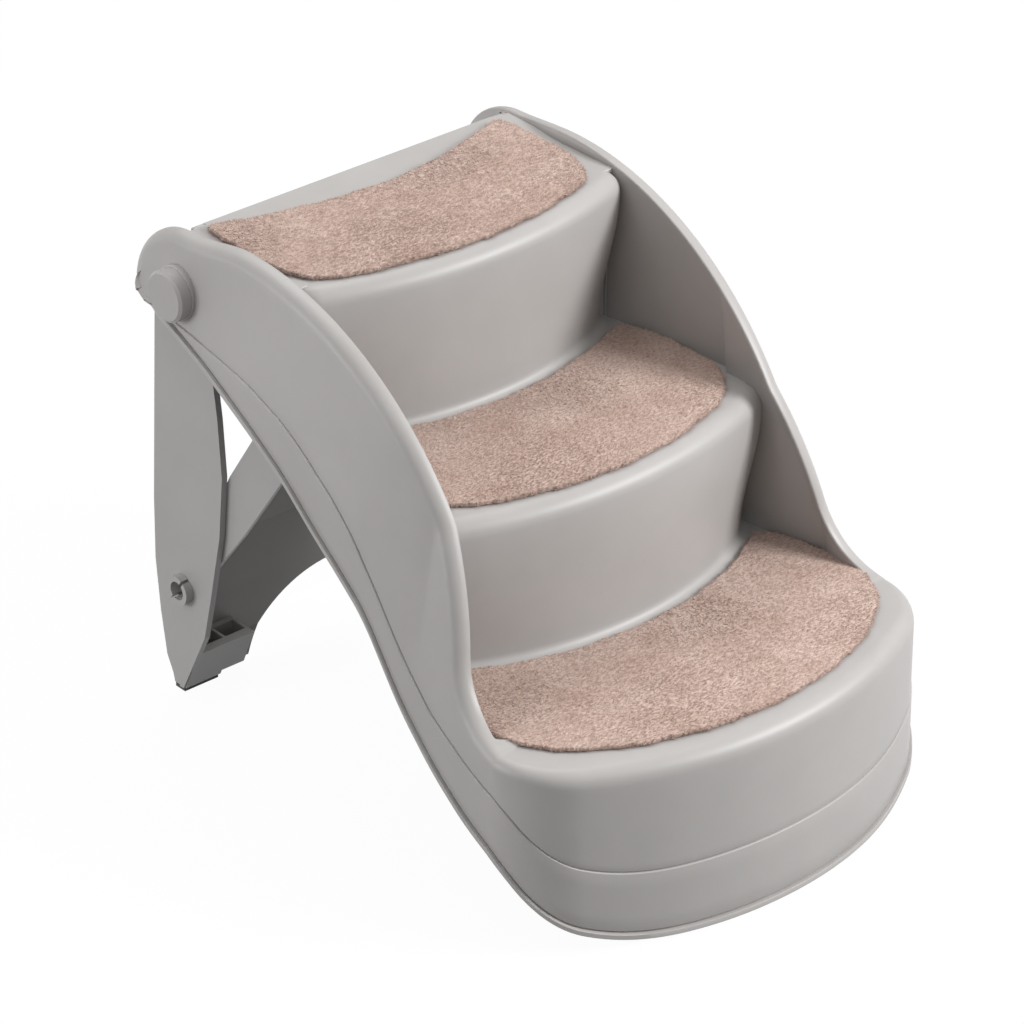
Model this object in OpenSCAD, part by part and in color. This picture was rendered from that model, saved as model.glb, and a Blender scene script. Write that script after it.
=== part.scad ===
// Pet stairs with three bowed steps and a folding rear leg held open by a brace.
// Frame: X across, Y from the front to the rear, Z up. The floor is z = 0.

/* [Shell] */
// Half width of the front block
half_front = 228; // [205:0.5:245]
// Wall thickness of the shell
wall = 3.2; // [2.4:0.1:3.6]
// How much narrower each side gets from the front block to the rear end
taper_in = 28; // [20:0.5:34]
// How far each side leans in from the front block up to the upper third of the cheeks
lean_in = 23; // [19:0.5:27]
// How far the rim at the rear stands inside the side of the front block
rim_in = 32; // [28:0.5:33]
// Height of the rim above the top tread
rim_over = 10.1; // [6:0.1:16]

/* [Steps] */
// Height of the first tread
tread_first = 174.5; // [160:0.5:190]
// Rise from one tread to the next
rise = 148.7; // [135:0.1:160]
// Depth of the bottom step from the lip to the middle riser
run_first = 202.5; // [190:0.5:215]
// Depth from the middle riser to the top riser
run_middle = 178.4; // [165:0.1:190]
// Depth of the top step
run_top = 205.6; // [190:0.1:220]
// Radius of the rounded step noses
nose_radius = 16; // [8:0.5:20]
// Bow radius of the upper risers
bow_radius = 350; // [330:1:420]
// Corner radius of the upper risers
bow_corner = 65; // [40:1:75]
// How far the middle step's side stands inside the side of the front block
middle_in = 25; // [23:0.5:27]
// How far the top step's side stands inside the side of the front block
top_in = 41; // [39:0.5:43]
// Bow radius of the front block
front_bow = 390; // [360:1:450]
// Corner radius of the front block
front_corner = 80; // [60:1:82]

/* [Cheeks] */
// Length of the cheeks behind the top tread
end_over = 52; // [44:1:60]
// Where the rim runs out on the front block, from the front
flare_from = 122; // [110:1:135]
// Radius of the rounded rear end of the cheeks
end_radius = 72; // [66:1:78]
// How far the rounded rear end starts below the rim
end_drop = 1; // [0.5:0.5:4]
// Radius of the large curve over the cheek
cheek_radius = 320; // [300:1:335]
// Radius of the flare at the lower end of the rim
flare_radius = 60; // [55:1:80]
// Cheek thickness beside the front tread
cheek_front = 16; // [14:0.5:18]
// Cheek thickness at the rear end
cheek_rear = 22; // [21:0.5:24]
// How far behind the flare the channel starts to narrow
wide_behind = 8; // [2:1:16]
// How far behind the flare the front block reaches
block_behind = 28; // [22:1:36]
// Length over which the channel narrows
narrow_run = 270; // [240:1:290]
// Depth of the rounding along the rim
rim_round = 9; // [5:0.5:10]
// How far the lip stands out
lip_out = 3.5; // [2:0.5:4]
// Height of the lip
lip_height = 7; // [5:0.5:10]
// Height of the step line above the lower edge
band_height = 74; // [60:1:85]
// Depth of the step line
band_step = 1.2; // [0.6:0.1:1.4]

/* [Hinge] */
// Hinge axis from the rear end of the cheeks
hinge_in = 71; // [66:1:76]
// Hinge axis below the rim
hinge_down = 60; // [56:1:68]
// Radius of the hinge pin
pin_radius = 8; // [6:0.5:10]
// Running clearance on every radius
running_fit = 0.06; // [0.02:0.01:0.1]
// Large radius of the pin cap
cap_radius = 24; // [20:0.5:25]
// Small radius of the pin cap
cap_face_radius = 21.5; // [18:0.5:22]
// How far the cap stands out
cap_height = 12.5; // [8:0.5:14]
// Thickness of the hinge washer
washer = 1; // [0.8:0.1:1.2]
// Thickness of the retaining clip
clip = 1.5; // [1:0.1:2]

/* [Leg] */
// Distance from the narrowest width of the sides in to the leg plates
leg_in = 9; // [8.8:0.1:9.6]
// Thickness of the leg plates
leg_plate = 4.5; // [4:0.1:4.8]
// Radius of the leg head
leg_head = 46; // [42:0.5:50]
// Brace pivot above the floor
pivot_up = 111; // [106:0.5:116]
// Brace pivot from the rear end of the cheeks
pivot_in = 50; // [47:0.5:53]
// Thickness of the cross web
web = 3; // [2.5:0.1:4]
// Distance of the web from the rear edge of the leg
web_inset = 9; // [7:0.5:11]
// Height of the arch in the web
arch_height = 64; // [50:1:75]
// Width of each leg foot beside the arch
foot_width = 69; // [65:1:74]
// Width of the outer part of a foot, which carries the rubber pad
foot_pad = 38; // [34:1:42]
// Height of the inner part of a foot above the floor
foot_step = 8.6; // [6:0.1:12]
// Top of the web above the brace pivot
web_over = 65; // [55:1:75]
// Width of the edge bead
bead = 6; // [4:0.5:8]
// How far the bead stands out of the plate
bead_out = 1.6; // [1:0.1:2]
// Thickness of the rubber pads under the leg
foot_rubber = 4; // [3:0.5:5]

/* [Brace] */
// Thickness of the brace arms
arm = 4; // [3.5:0.1:4.4]
// Gap between arm and leg plate
arm_gap = 0.6; // [0.4:0.1:0.8]
// Distance from the brace pivot to the latch bar
brace_length = 205; // [203:0.5:207]
// Angle of the brace from its pivot
brace_angle = 123.9; // [123:0.1:125]
// Radius of the latch bar
bar_radius = 7; // [6:0.5:8]
// Radius of the snap boss
boss_radius = 13; // [11:0.5:14]
// Radius of the lip on the snap boss
boss_lip = 14.2; // [13.5:0.1:15]
// Bore of the snap boss
boss_bore = 9; // [8:0.5:10]
// How far the boss stands out of the leg plate
boss_out = 8; // [6:0.5:9]
// Width of the slot in the boss
boss_slot = 3; // [2:0.5:4]
// Clearance round the latch bar in its saddles
latch_gap = 0.5; // [0.3:0.1:1]
// Distance from the leg plates in to the latch ribs
latch_in = 58; // [52:1:64]
// Thickness of a latch rib
rib = 4; // [3:0.5:5]
// Radius of the arch in the brace web
brace_arch = 300; // [280:1:330]

/* [Carpet] */
// Thickness of the carpet pads
carpet = 5; // [4:0.5:7]
// Thickness of the adhesive layer
tape = 0.6; // [0.4:0.1:1]
// Distance from a riser face back to the pad's front edge
carpet_set_back = 15; // [12:0.5:25]
// Distance from a pad's rear edge to the riser behind it
carpet_rear_gap = 5; // [4:0.5:8]
// Corner radius of the upper pads
carpet_corner = 40; // [25:1:60]
// Extra set-back of the pad on the front block
front_set_back = 12; // [8:0.5:16]
// Distance from the top pad's side to the side of the top step
top_pad_in = 21; // [18:0.5:26]
// Distance from the middle pad's side to the side of the middle step
middle_pad_in = 27; // [25:0.5:32]
// Distance from the bottom pad's side to the side of the front block
bottom_pad_in = 28; // [26:0.5:34]
// How much narrower the middle pad is at its rear edge
middle_pad_taper = 6; // [4:0.5:10]
// How much narrower the bottom pad is at its rear edge
bottom_pad_taper = 14; // [12:0.5:18]
// Distance from the top pad's rear edge to the rear edge of the tread
top_pad_end = 20; // [16:1:26]
// Bow radius of the rear edge of the top pad
top_pad_bow = 1000; // [800:10:1500]

/* [Hidden] */
over = 5;
arc_steps = 10;
nose_layers = 3;
rim_layers = 3;
riser_middle = lip_out + run_first;
riser_top = riser_middle + run_middle;
top_rear = riser_top + run_top;
depth = top_rear + end_over;
mid = depth / 2;
far = depth * 2;
z_mid = tread_first + rise;
z_top = z_mid + rise;
height = z_top + rim_over;
half_rear = half_front - taper_in;
half_lean = half_front - lean_in;
half_rim = half_front - rim_in;
half_middle = half_front - middle_in;
half_top = half_front - top_in;
cheek_low = height - cheek_radius;
flare_up = tread_first + flare_radius;
cheek_start = flare_from
    + sqrt(pow(cheek_radius + flare_radius, 2) - pow(flare_up - cheek_low, 2));
straight_to = flare_from + block_behind;
channel_front = half_front - cheek_front;
channel_wide_at = flare_from + wide_behind;
channel_rear = half_rear - cheek_rear;
channel_narrow_at = channel_wide_at + narrow_run;
step_middle = riser_middle + bow_corner * 1.5;
step_top = riser_top + bow_corner * 1.5;
lean_top = z_top - rise / 2;
rest = [depth - hinge_in, height - hinge_down];
pivot = [depth - pivot_in, pivot_up];
along = [cos(brace_angle), sin(brace_angle)];
latch = pivot + brace_length * along;
leg_outer = half_rear - leg_in;
leg_inner = leg_outer - leg_plate;
arm_outer = leg_inner - arm_gap;
arm_inner = arm_outer - arm;
latch_at = leg_outer - latch_in;
arch_half = leg_outer - foot_width;
arch_r = (arch_half * arch_half + arch_height * arch_height) / (2 * arch_height);
foot_split = leg_outer - foot_pad;
web_top = pivot_up + web_over;
seat = half_rear + lip_out * 1.2;
pin_hole = pin_radius + running_fit;
top_pad_half = half_top - top_pad_in;
middle_pad_half = half_middle - middle_pad_in;
bottom_pad_half = half_front - bottom_pad_in;

// Skirt edge: corner points as shares of the depth and of the height
edge_shares = [[0.028, 0], [0.289, 0.216], [0.592, 0.645], [0.95, 0.838], [1.3, 0.99]];
edge_round_share = 0.3;

// Rear and front edges of the leg as shares of the depth and of the height
leg_rear_shares = [[0.965, 0.8], [0.978, 0.52], [0.984, 0.39], [0.986, 0.26], [0.978, 0.15],
    [0.967, 0.06], [0.949, 0.012]];
leg_front_shares = [[0.928, 0.008], [0.874, 0.151], [0.856, 0.249], [0.832, 0.392], [0.822, 0.523],
    [0.828, 0.64], [0.836, 0.72]];

// Leg foot and foot pocket as shares of the depth and of the height
foot_shares = [[0.928, 0], [0.949, 0], [0.957, 0.04], [0.95, 0.1], [0.895, 0.1]];
pocket_shares = [[0.93, 0.02], [0.943, 0.02], [0.94, 0.11], [0.908, 0.11]];

// Half widths of the brace arms, as shares of the brace length from the pivot
arm_rear_shares = [[0.02, 0.07], [0.52, 0.06], [0.6, 0.1], [0.76, 0.115], [1.12, 0.115]];
arm_front_shares = [[1.12, 0.115], [0.6, 0.1], [0.02, 0.055]];

// Lower edge of a latch rib round the latch bar, as shares of the brace length
rib_shares = [[0.11, 0.46], [-0.05, 0.33], [-0.05, 0.034], [0.076, 0.034], [0.076, -0.078],
    [-0.106, -0.09], [-0.257, 0.11]];

// Lower edge of a hinge plate round the hinge, as shares of the leg head
hinge_plate_shares = [[-0.9, -0.93], [0.91, -0.93], [0.91, 0.43], [0.33, 1]];
head_share = 0.96;
web_from_share = 0.74;
web_arch_share = 0.86;

function at_shares(s) = [for (p = s) [p[0] * depth, p[1] * height]];
function arc_points(c, r, a, b, n) = [for (i = [0:n]) c + r * [cos(a + (b - a) * i / n),
    sin(a + (b - a) * i / n)]];
function along_brace(s) = [for (p = s) pivot + p[0] * brace_length * along
    + p[1] * brace_length * [along[1], -along[0]]];
function against_brace(s) = [for (p = s) pivot + p[0] * brace_length * along
    - p[1] * brace_length * [along[1], -along[0]]];
function shift(s, v) = [for (p = s) p + v];
function backwards(s) = [for (i = [len(s) - 1:-1:0]) s[i]];

// A corner of a chain, rounded so that the arc ends a given share along the shorter side
function corner(p, q, r, share) = let (
        u = (p - q) / norm(p - q),
        v = (r - q) / norm(r - q),
        reach = share * min(norm(p - q), norm(r - q)))
    [for (i = [0:arc_steps]) let (t = i / arc_steps)
        q + reach * ((1 - t) * (1 - t) * u + t * t * v)];

function edge_points() = let (e = at_shares(edge_shares))
    concat([e[0]], corner(e[0], e[1], e[2], edge_round_share),
        corner(e[1], e[2], e[3], edge_round_share), [e[3], e[4]]);

// Front of a bowed plan from the left side to the right side
function bow_points(front, half, bow, corner_r) = let (
        side = half - corner_r,
        reach = bow - corner_r,
        back = front + bow - sqrt(reach * reach - side * side),
        turn = asin(side / reach))
    concat(arc_points([-side, back], corner_r, 180, 270 - turn, arc_steps),
        arc_points([0, front + bow], bow, 270 - turn, 270 + turn, arc_steps),
        arc_points([side, back], corner_r, 270 + turn, 360, arc_steps));

// Plan of the front block and the side walls
function plan_points(inset) = concat(
    bow_points(lip_out + inset, half_front - inset, front_bow - inset, front_corner - inset),
    [[half_front - inset, straight_to], [half_rear - inset, depth + over],
        [inset - half_rear, depth + over], [inset - half_front, straight_to]]);

// Cross-section of the side walls, which lean inwards from the front block up to the rim
function lean_points(inset) = [
    [inset - half_front, -over * 2], [half_front - inset, -over * 2],
    [half_front - inset, tread_first + nose_radius], [half_lean - inset, lean_top],
    [half_rim - inset, height + over], [inset - half_rim, height + over],
    [inset - half_lean, lean_top], [inset - half_front, tread_first + nose_radius]];

function channel_points(grow) = [
    [-channel_front - grow, -over], [channel_front + grow, -over],
    [channel_front + grow, channel_wide_at], [channel_rear + grow, channel_narrow_at],
    [channel_rear + grow, depth + over], [-channel_rear - grow, depth + over],
    [-channel_rear - grow, channel_narrow_at], [-channel_front - grow, channel_wide_at]];

// Side view of a cheek: rim, flare and front, closed well below the floor
function cheek_points(inset) = let (
        c = [cheek_start, cheek_low],
        f = [flare_from, flare_up],
        end = [depth - end_radius, height - end_radius - end_drop],
        meet = atan2(f[1] - c[1], f[0] - c[0]))
    concat(
        arc_points(end, end_radius - inset, -15, 90, arc_steps),
        arc_points(c, cheek_radius - inset, 90, meet, arc_steps * 2),
        arc_points(f, flare_radius + inset, meet - 180, -90, arc_steps),
        [[f[0], -over * 2], [depth - inset, -over * 2]]);

// The space above the treads, seen from the side; grow moves it into the treads
function stair_points(grow) = [
    [-over, tread_first - grow], [step_middle + grow, tread_first - grow],
    [step_middle + grow, z_mid - grow], [step_top + grow, z_mid - grow],
    [step_top + grow, z_top - grow], [top_rear - grow, z_top - grow],
    [top_rear - grow, -over * 3], [depth + over, -over * 3],
    [depth + over, height + over], [-over, height + over]];

// A strip along the skirt edge, between two heights above it
function strip_points(low, high) = let (e = edge_points(),
        s = concat([[-over, 0]], [for (i = [0:len(e) - 2]) e[i]]))
    concat(shift(s, [0, low]), backwards(shift(s, [0, high])));

// Draws a plan outline between two heights
module stand(points, low, high) {
    translate([0, 0, low])
        linear_extrude(height = high - low)
            polygon(points);
}

// Draws an outline seen from the front, from the front to the rear
module along_depth(points) {
    translate([0, depth + over * 2, 0])
        rotate([90, 0, 0])
            linear_extrude(height = depth + over * 4)
                polygon(points);
}

// Draws a side-view outline between two distances from the middle
module across(points, from, to) {
    translate([from, 0, 0])
        rotate([90, 0, 90])
            linear_extrude(height = to - from)
                polygon(points);
}

module both_sides() {
    children();
    mirror([1, 0, 0])
        children();
}

module rod(c, r, from, to) {
    translate([from, c[0], c[1]])
        rotate([0, 90, 0])
            cylinder(r = r, h = to - from, $fn = 96);
}

// One bowed step: a stack of columns, each narrower and taller, that rounds the nose
module bowed_step(front, half, bow, corner_r, high, back, inset, low) {
    for (i = [0:nose_layers]) {
        in = inset + nose_radius * (1 - cos(90 * i / nose_layers));
        down = inset + nose_radius * (1 - sin(90 * i / nose_layers));
        stand(concat(bow_points(front + in, half - in, bow - in, corner_r - in),
            [[half - in, back], [in - half, back]]), -low, high - down);
    }
}

// The three step blocks, made smaller all round by inset and continued below the floor by low
module three_steps(inset, low) {
    bowed_step(lip_out, half_front, front_bow, front_corner, tread_first, straight_to, inset,
        low);
    bowed_step(riser_middle, half_middle, bow_radius, bow_corner, z_mid, step_middle + over,
        inset, low);
    bowed_step(riser_top, half_top, bow_radius, bow_corner, z_top, top_rear - inset, inset, low);
}

// Side body between an outline and a plan, without the space above the treads
module side_body(outline_inset, plan_inset, grow, side_grow) {
    difference() {
        intersection() {
            across(cheek_points(outline_inset), -half_front - over, half_front + over);
            stand(plan_points(plan_inset), -over, height + over);
            along_depth(lean_points(plan_inset));
        }
        intersection() {
            across(stair_points(grow), -half_front, half_front);
            stand(channel_points(side_grow), -over * 4, height + over * 2);
        }
    }
}

// Plates that hang from the underside of the top tread, drawn as one side view
module hanging(at, shares, size, from, to) {
    points = [for (p = shares) at + p * size];
    last = points[len(points) - 1];
    across(concat([[last[0], z_top - wall / 2], [points[0][0], z_top - wall / 2]], points),
        from, to);
}

module latch_rib() {
    hanging(latch, rib_shares, brace_length, latch_at, latch_at + rib);
}

module stair_shell() {
    color("lightgray")
        difference() {
            union() {
                difference() {
                    union() {
                        three_steps(0, 0);
                        for (i = [0:rim_layers])
                            side_body(rim_round * (1 - sin(90 * i / rim_layers)),
                                rim_round * (1 - cos(90 * i / rim_layers)), 0,
                                rim_round * (1 - cos(90 * i / rim_layers)));
                        intersection() {
                            across(strip_points(0, lip_height), -half_front - over,
                                half_front + over);
                            difference() {
                                stand(plan_points(-lip_out), 0, height);
                                stand(plan_points(wall), -over, height + over);
                            }
                        }
                    }
                    three_steps(wall, over);
                    side_body(wall + rim_round / 2, wall, wall, wall);
                    difference() {
                        across(strip_points(lip_height, band_height), -half_front - over,
                            half_front + over);
                        intersection() {
                            stand(plan_points(band_step), -over, height + over);
                            along_depth(lean_points(band_step));
                        }
                    }
                    both_sides()
                        rod(rest, cap_radius + bead, seat - band_step, seat + cap_height);
                }
                both_sides() {
                    rod(rest, cap_radius + band_step, seat - wall * 2, seat);
                    rod(rest, boss_lip + wall, leg_outer + washer + running_fit * 2, seat - wall);
                    rod(rest, boss_lip + wall, channel_rear, leg_inner - running_fit);
                    hanging(rest, hinge_plate_shares, leg_head, channel_rear,
                        channel_rear + wall);
                    latch_rib();
                }
            }
            across(concat(edge_points(), [[far, -over * 4], [edge_points()[0][0], -over * 4]]),
                -half_front - over * 2, half_front + over * 2);
            both_sides()
                rod(rest, pin_hole, channel_rear - over, seat + over);
            rod(latch, bar_radius + latch_gap, -latch_at - rib * 2, latch_at + rib * 2);
            across([latch + [-bar_radius - latch_gap, 0], latch + [bar_radius + latch_gap, 0],
                    latch + [bar_radius + latch_gap * 3, bar_radius * 2],
                    latch + [-bar_radius - latch_gap * 8, bar_radius * 2]],
                -latch_at - rib * 2, latch_at + rib * 2);
        }
}

module carpet_plan(front, half, half_back, bow, corner_r, back_middle, back_bow) {
    side = half - corner_r;
    reach = bow - corner_r;
    row = front + bow - sqrt(reach * reach - side * side);
    turn = asin(half_back / back_bow);
    polygon(concat(bow_points(front, half, bow, corner_r),
        arc_points([0, back_middle + back_bow], back_bow, 270 + turn, 270 - turn,
            arc_steps * 2)));
}

module top_layer(low, thick) {
    translate([0, 0, z_top + low])
        linear_extrude(height = thick)
            carpet_plan(riser_top + carpet_set_back, top_pad_half, top_pad_half,
                bow_radius - carpet_set_back, carpet_corner, top_rear - top_pad_end,
                -top_pad_bow);
}

module middle_layer(low, thick) {
    translate([0, 0, z_mid + low])
        linear_extrude(height = thick)
            carpet_plan(riser_middle + carpet_set_back, middle_pad_half,
                middle_pad_half - middle_pad_taper, bow_radius - carpet_set_back, carpet_corner,
                riser_top - carpet_rear_gap, bow_radius);
}

module bottom_layer(low, thick) {
    translate([0, 0, tread_first + low])
        linear_extrude(height = thick)
            carpet_plan(carpet_set_back + lip_out + front_set_back, bottom_pad_half,
                bottom_pad_half - bottom_pad_taper, front_bow - carpet_set_back - front_set_back,
                front_corner - carpet_set_back, riser_middle - carpet_rear_gap, bow_radius);
}

module top_carpet() {
    color("tan")
        top_layer(tape, carpet);
}

module middle_carpet() {
    color("tan")
        middle_layer(tape, carpet);
}

module bottom_carpet() {
    color("tan")
        bottom_layer(tape, carpet);
}

module top_tape() {
    color("white")
        top_layer(0, tape);
}

module middle_tape() {
    color("white")
        middle_layer(0, tape);
}

module bottom_tape() {
    color("white")
        bottom_layer(0, tape);
}

module hinge_pin() {
    rod(rest, pin_radius, channel_rear - clip * 2, seat + wall);
    translate([seat + running_fit, rest[0], rest[1]])
        rotate([0, 90, 0]) {
            cylinder(r = cap_radius, h = cap_height - cap_radius + cap_face_radius, $fn = 96);
            translate([0, 0, cap_height - cap_radius + cap_face_radius])
                cylinder(r1 = cap_radius, r2 = cap_face_radius, h = cap_radius - cap_face_radius,
                    $fn = 96);
        }
}

module hinge_ring(inner, outer, from, to) {
    difference() {
        rod(rest, outer, from, to);
        rod(rest, inner, from - over, to + over);
    }
}

module hinge_pin_left() {
    color("gray")
        mirror([1, 0, 0])
            hinge_pin();
}

module hinge_pin_right() {
    color("gray")
        hinge_pin();
}

module hinge_clip_left() {
    color("silver")
        mirror([1, 0, 0])
            hinge_ring(pin_hole, pin_radius + clip * 2, channel_rear - clip, channel_rear);
}

module hinge_clip_right() {
    color("silver")
        hinge_ring(pin_hole, pin_radius + clip * 2, channel_rear - clip, channel_rear);
}

module hinge_washer_left() {
    color("white")
        mirror([1, 0, 0])
            hinge_ring(pin_hole, boss_lip + wall, leg_outer + running_fit,
                leg_outer + running_fit + washer);
}

module hinge_washer_right() {
    color("white")
        hinge_ring(pin_hole, boss_lip + wall, leg_outer + running_fit,
            leg_outer + running_fit + washer);
}

module leg_side() {
    rear = at_shares(leg_rear_shares);
    front = at_shares(leg_front_shares);
    across(concat([rest + [leg_head * head_share, 0]], rear, front,
        [rest - [leg_head * head_share, 0]]), leg_inner, leg_outer);
    rod(rest, leg_head, leg_inner, leg_outer);
    across(concat(front, backwards(shift(front, [bead, 0]))), leg_inner, leg_outer + bead_out);
}

module rear_leg() {
    rear = at_shares(leg_rear_shares);
    color("gainsboro")
        difference() {
            union() {
                both_sides()
                    leg_side();
                difference() {
                    across(concat(shift(rear, [-web_inset, 0]),
                        backwards(shift(rear, [-web_inset - web, 0]))), -leg_outer, leg_outer);
                    translate([-leg_inner, 0, web_top])
                        cube([leg_inner * 2, depth, height]);
                    translate([0, depth, arch_height - arch_r])
                        rotate([90, 0, 0])
                            cylinder(r = arch_r, h = depth, $fn = 180);
                }
                both_sides() {
                    across(at_shares(foot_shares), arch_half + rib, leg_outer);
                }
            }
            both_sides() {
                across(at_shares(pocket_shares), arch_half + rib + web, foot_split - web / 2);
                across(at_shares(pocket_shares), foot_split + web / 2, leg_inner);
                rod(pivot, boss_radius + running_fit, leg_inner - over, leg_outer + over);
                rod(rest, pin_hole, leg_inner - over, leg_outer + over);
                translate([0, 0, -over])
                    cube([foot_split - web / 2, depth, over + foot_step]);
            }
            translate([-half_front, 0, -over])
                cube([half_front * 2, depth, over + foot_rubber]);
        }
}

module rear_foot() {
    from = foot_shares[0][0] * depth;
    to = foot_shares[1][0] * depth;
    across([[from, 0], [to, 0], [to, foot_rubber], [from, foot_rubber]], foot_split, leg_outer);
}

module rear_foot_left() {
    color("dimgray")
        mirror([1, 0, 0])
            rear_foot();
}

module rear_foot_right() {
    color("dimgray")
        rear_foot();
}

module brace() {
    color("whitesmoke")
        difference() {
            union() {
                both_sides() {
                    across(concat(along_brace(arm_rear_shares), against_brace(arm_front_shares)),
                        arm_inner, arm_outer);
                    rod(pivot, boss_lip + web, arm_inner, arm_outer);
                    rod(pivot, boss_radius, arm_inner, leg_outer + boss_out);
                    rod(pivot, boss_lip, leg_outer + running_fit * 2, leg_outer + boss_out);
                }
                rod(latch, bar_radius, -arm_outer, arm_outer);
                translate([0, pivot[0], pivot[1]])
                    rotate([brace_angle - 90, 0, 0])
                        difference() {
                            translate([-arm_outer, -web / 2, brace_length * web_from_share])
                                cube([arm_outer * 2, web, brace_length * (1 - web_from_share)]);
                            translate([0, web, brace_length * web_arch_share - brace_arch])
                                rotate([90, 0, 0])
                                    cylinder(r = brace_arch, h = web * 2, $fn = 180);
                            both_sides()
                                translate([latch_at - rib * 4, -web, 0])
                                    cube([rib * 9, web * 2, brace_length - bar_radius / 2]);
                        }
            }
            both_sides() {
                rod(pivot, boss_bore, arm_inner - over, leg_outer + boss_out + over);
                translate([arm_outer, pivot[0], pivot[1]])
                    rotate([brace_angle - 90, 0, 0])
                        translate([0, -boss_slot / 2, -boss_lip * 2])
                            cube([leg_plate * 4, boss_slot, boss_lip * 4]);
            }
        }
}

translate([0, -mid, 0]) {
    stair_shell();
    top_carpet();
    middle_carpet();
    bottom_carpet();
    top_tape();
    middle_tape();
    bottom_tape();
    rear_leg();
    brace();
    hinge_pin_left();
    hinge_pin_right();
    hinge_clip_left();
    hinge_clip_right();
    hinge_washer_left();
    hinge_washer_right();
    rear_foot_left();
    rear_foot_right();
}
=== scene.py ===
import bpy
import math
import numpy as np
from mathutils import Matrix, Vector


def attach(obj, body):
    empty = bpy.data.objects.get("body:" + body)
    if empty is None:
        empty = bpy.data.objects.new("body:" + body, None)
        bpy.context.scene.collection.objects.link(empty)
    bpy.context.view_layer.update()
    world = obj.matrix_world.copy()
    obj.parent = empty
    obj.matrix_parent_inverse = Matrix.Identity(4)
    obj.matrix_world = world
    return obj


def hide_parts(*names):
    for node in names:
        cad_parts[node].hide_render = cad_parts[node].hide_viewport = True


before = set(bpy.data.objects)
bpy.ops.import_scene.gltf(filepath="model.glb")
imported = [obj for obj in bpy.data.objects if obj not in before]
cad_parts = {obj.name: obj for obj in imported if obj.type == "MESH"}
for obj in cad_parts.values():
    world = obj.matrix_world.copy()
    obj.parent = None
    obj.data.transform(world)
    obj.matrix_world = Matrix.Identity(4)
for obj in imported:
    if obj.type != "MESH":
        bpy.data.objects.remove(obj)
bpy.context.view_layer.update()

# Lengths are millimetres: x across from the middle, y back from the front lip, z up from the floor.
MM = 0.001
HALF_DEPTH = 321.0                # the frame's Y = 0 lies half way along the stairs
TREAD = (174.5, 323.2, 471.9)     # heights of the bottom, middle and top tread
RISER = (3.5, 206.0, 384.4)       # front of each riser on the middle line
HINGE = (571.0, 422.0)            # y and z of the leg's pins
LATCH = (477.7, 281.2)            # y and z of the brace's bar
WALL = 3.0                        # thickness of the moulded sheets
rng = np.random.default_rng(7)


# ---------------------------------------------------------------- hand tools
def select(*obs):
    if bpy.context.mode != "OBJECT":
        bpy.ops.object.mode_set(mode="OBJECT")
    bpy.ops.object.select_all(action="DESELECT")
    for o in obs:
        o.select_set(True)
    bpy.context.view_layer.objects.active = obs[0]


def apply_modifiers(ob):
    select(ob)
    for m in list(ob.modifiers):
        bpy.ops.object.modifier_apply(modifier=m.name)


def smooth_faces(degrees):
    """Smooth shading on the selected piece, except over edges sharper than this."""
    bpy.ops.object.shade_smooth_by_angle(angle=math.radians(degrees))


def place(ob, points):
    """Move every vertex of a primitive to its place."""
    v = np.asarray(points, float).reshape(-1, 3).copy()
    v[:, 1] -= HALF_DEPTH
    ob.data.vertices.foreach_set("co", (v * MM).ravel())
    ob.data.update()


def weld(ob):
    select(ob)
    bpy.ops.object.mode_set(mode="EDIT")
    bpy.ops.mesh.select_all(action="SELECT")
    bpy.ops.mesh.remove_doubles(threshold=0.00002)
    bpy.ops.object.mode_set(mode="OBJECT")


def round_edges(ob, width):
    m = ob.modifiers.new("edge", "BEVEL")
    m.width = width * MM
    m.segments = 3
    m.limit_method = "ANGLE"
    m.angle_limit = math.radians(50)
    apply_modifiers(ob)


def bent_grid(name, points):
    """A flat grid primitive bent to rows of points, then given its wall with Solidify."""
    g = np.asarray(points, float)
    rows, cols = g.shape[:2]
    bpy.ops.object.select_all(action="DESELECT")
    bpy.ops.mesh.primitive_grid_add(x_subdivisions=cols - 1, y_subdivisions=rows - 1, size=1)
    ob = bpy.context.object
    ob.name = ob.data.name = name
    place(ob, g)
    m = ob.modifiers.new("wall", "SOLIDIFY")
    m.thickness = WALL * MM
    m.offset = -1
    apply_modifiers(ob)
    weld(ob)
    smooth_faces(40)
    return ob


def outline_plate(name, points, axis, low, high, bevel):
    """A plate cut to an outline: a filled circle primitive shaped to it, extruded and bevelled.
    axis 0: the outline holds (y, z) and the plate lies between two x; axis 2: (x, y), two z."""
    p = np.asarray(points, float)
    bpy.ops.object.select_all(action="DESELECT")
    bpy.ops.mesh.primitive_circle_add(vertices=len(p), radius=1, fill_type="NGON")
    ob = bpy.context.object
    ob.name = ob.data.name = name
    place(ob, np.insert(p, axis, low, axis=1))
    move = tuple((high - low) * MM if k == axis else 0 for k in range(3))
    bpy.ops.object.mode_set(mode="EDIT")
    bpy.ops.mesh.select_all(action="SELECT")
    bpy.ops.mesh.extrude_region_move(TRANSFORM_OT_translate={"value": move})
    bpy.ops.mesh.select_all(action="SELECT")
    bpy.ops.mesh.normals_make_consistent(inside=False)
    bpy.ops.object.mode_set(mode="OBJECT")
    if bevel:
        round_edges(ob, bevel)
    select(ob)
    smooth_faces(35)
    return ob


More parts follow.
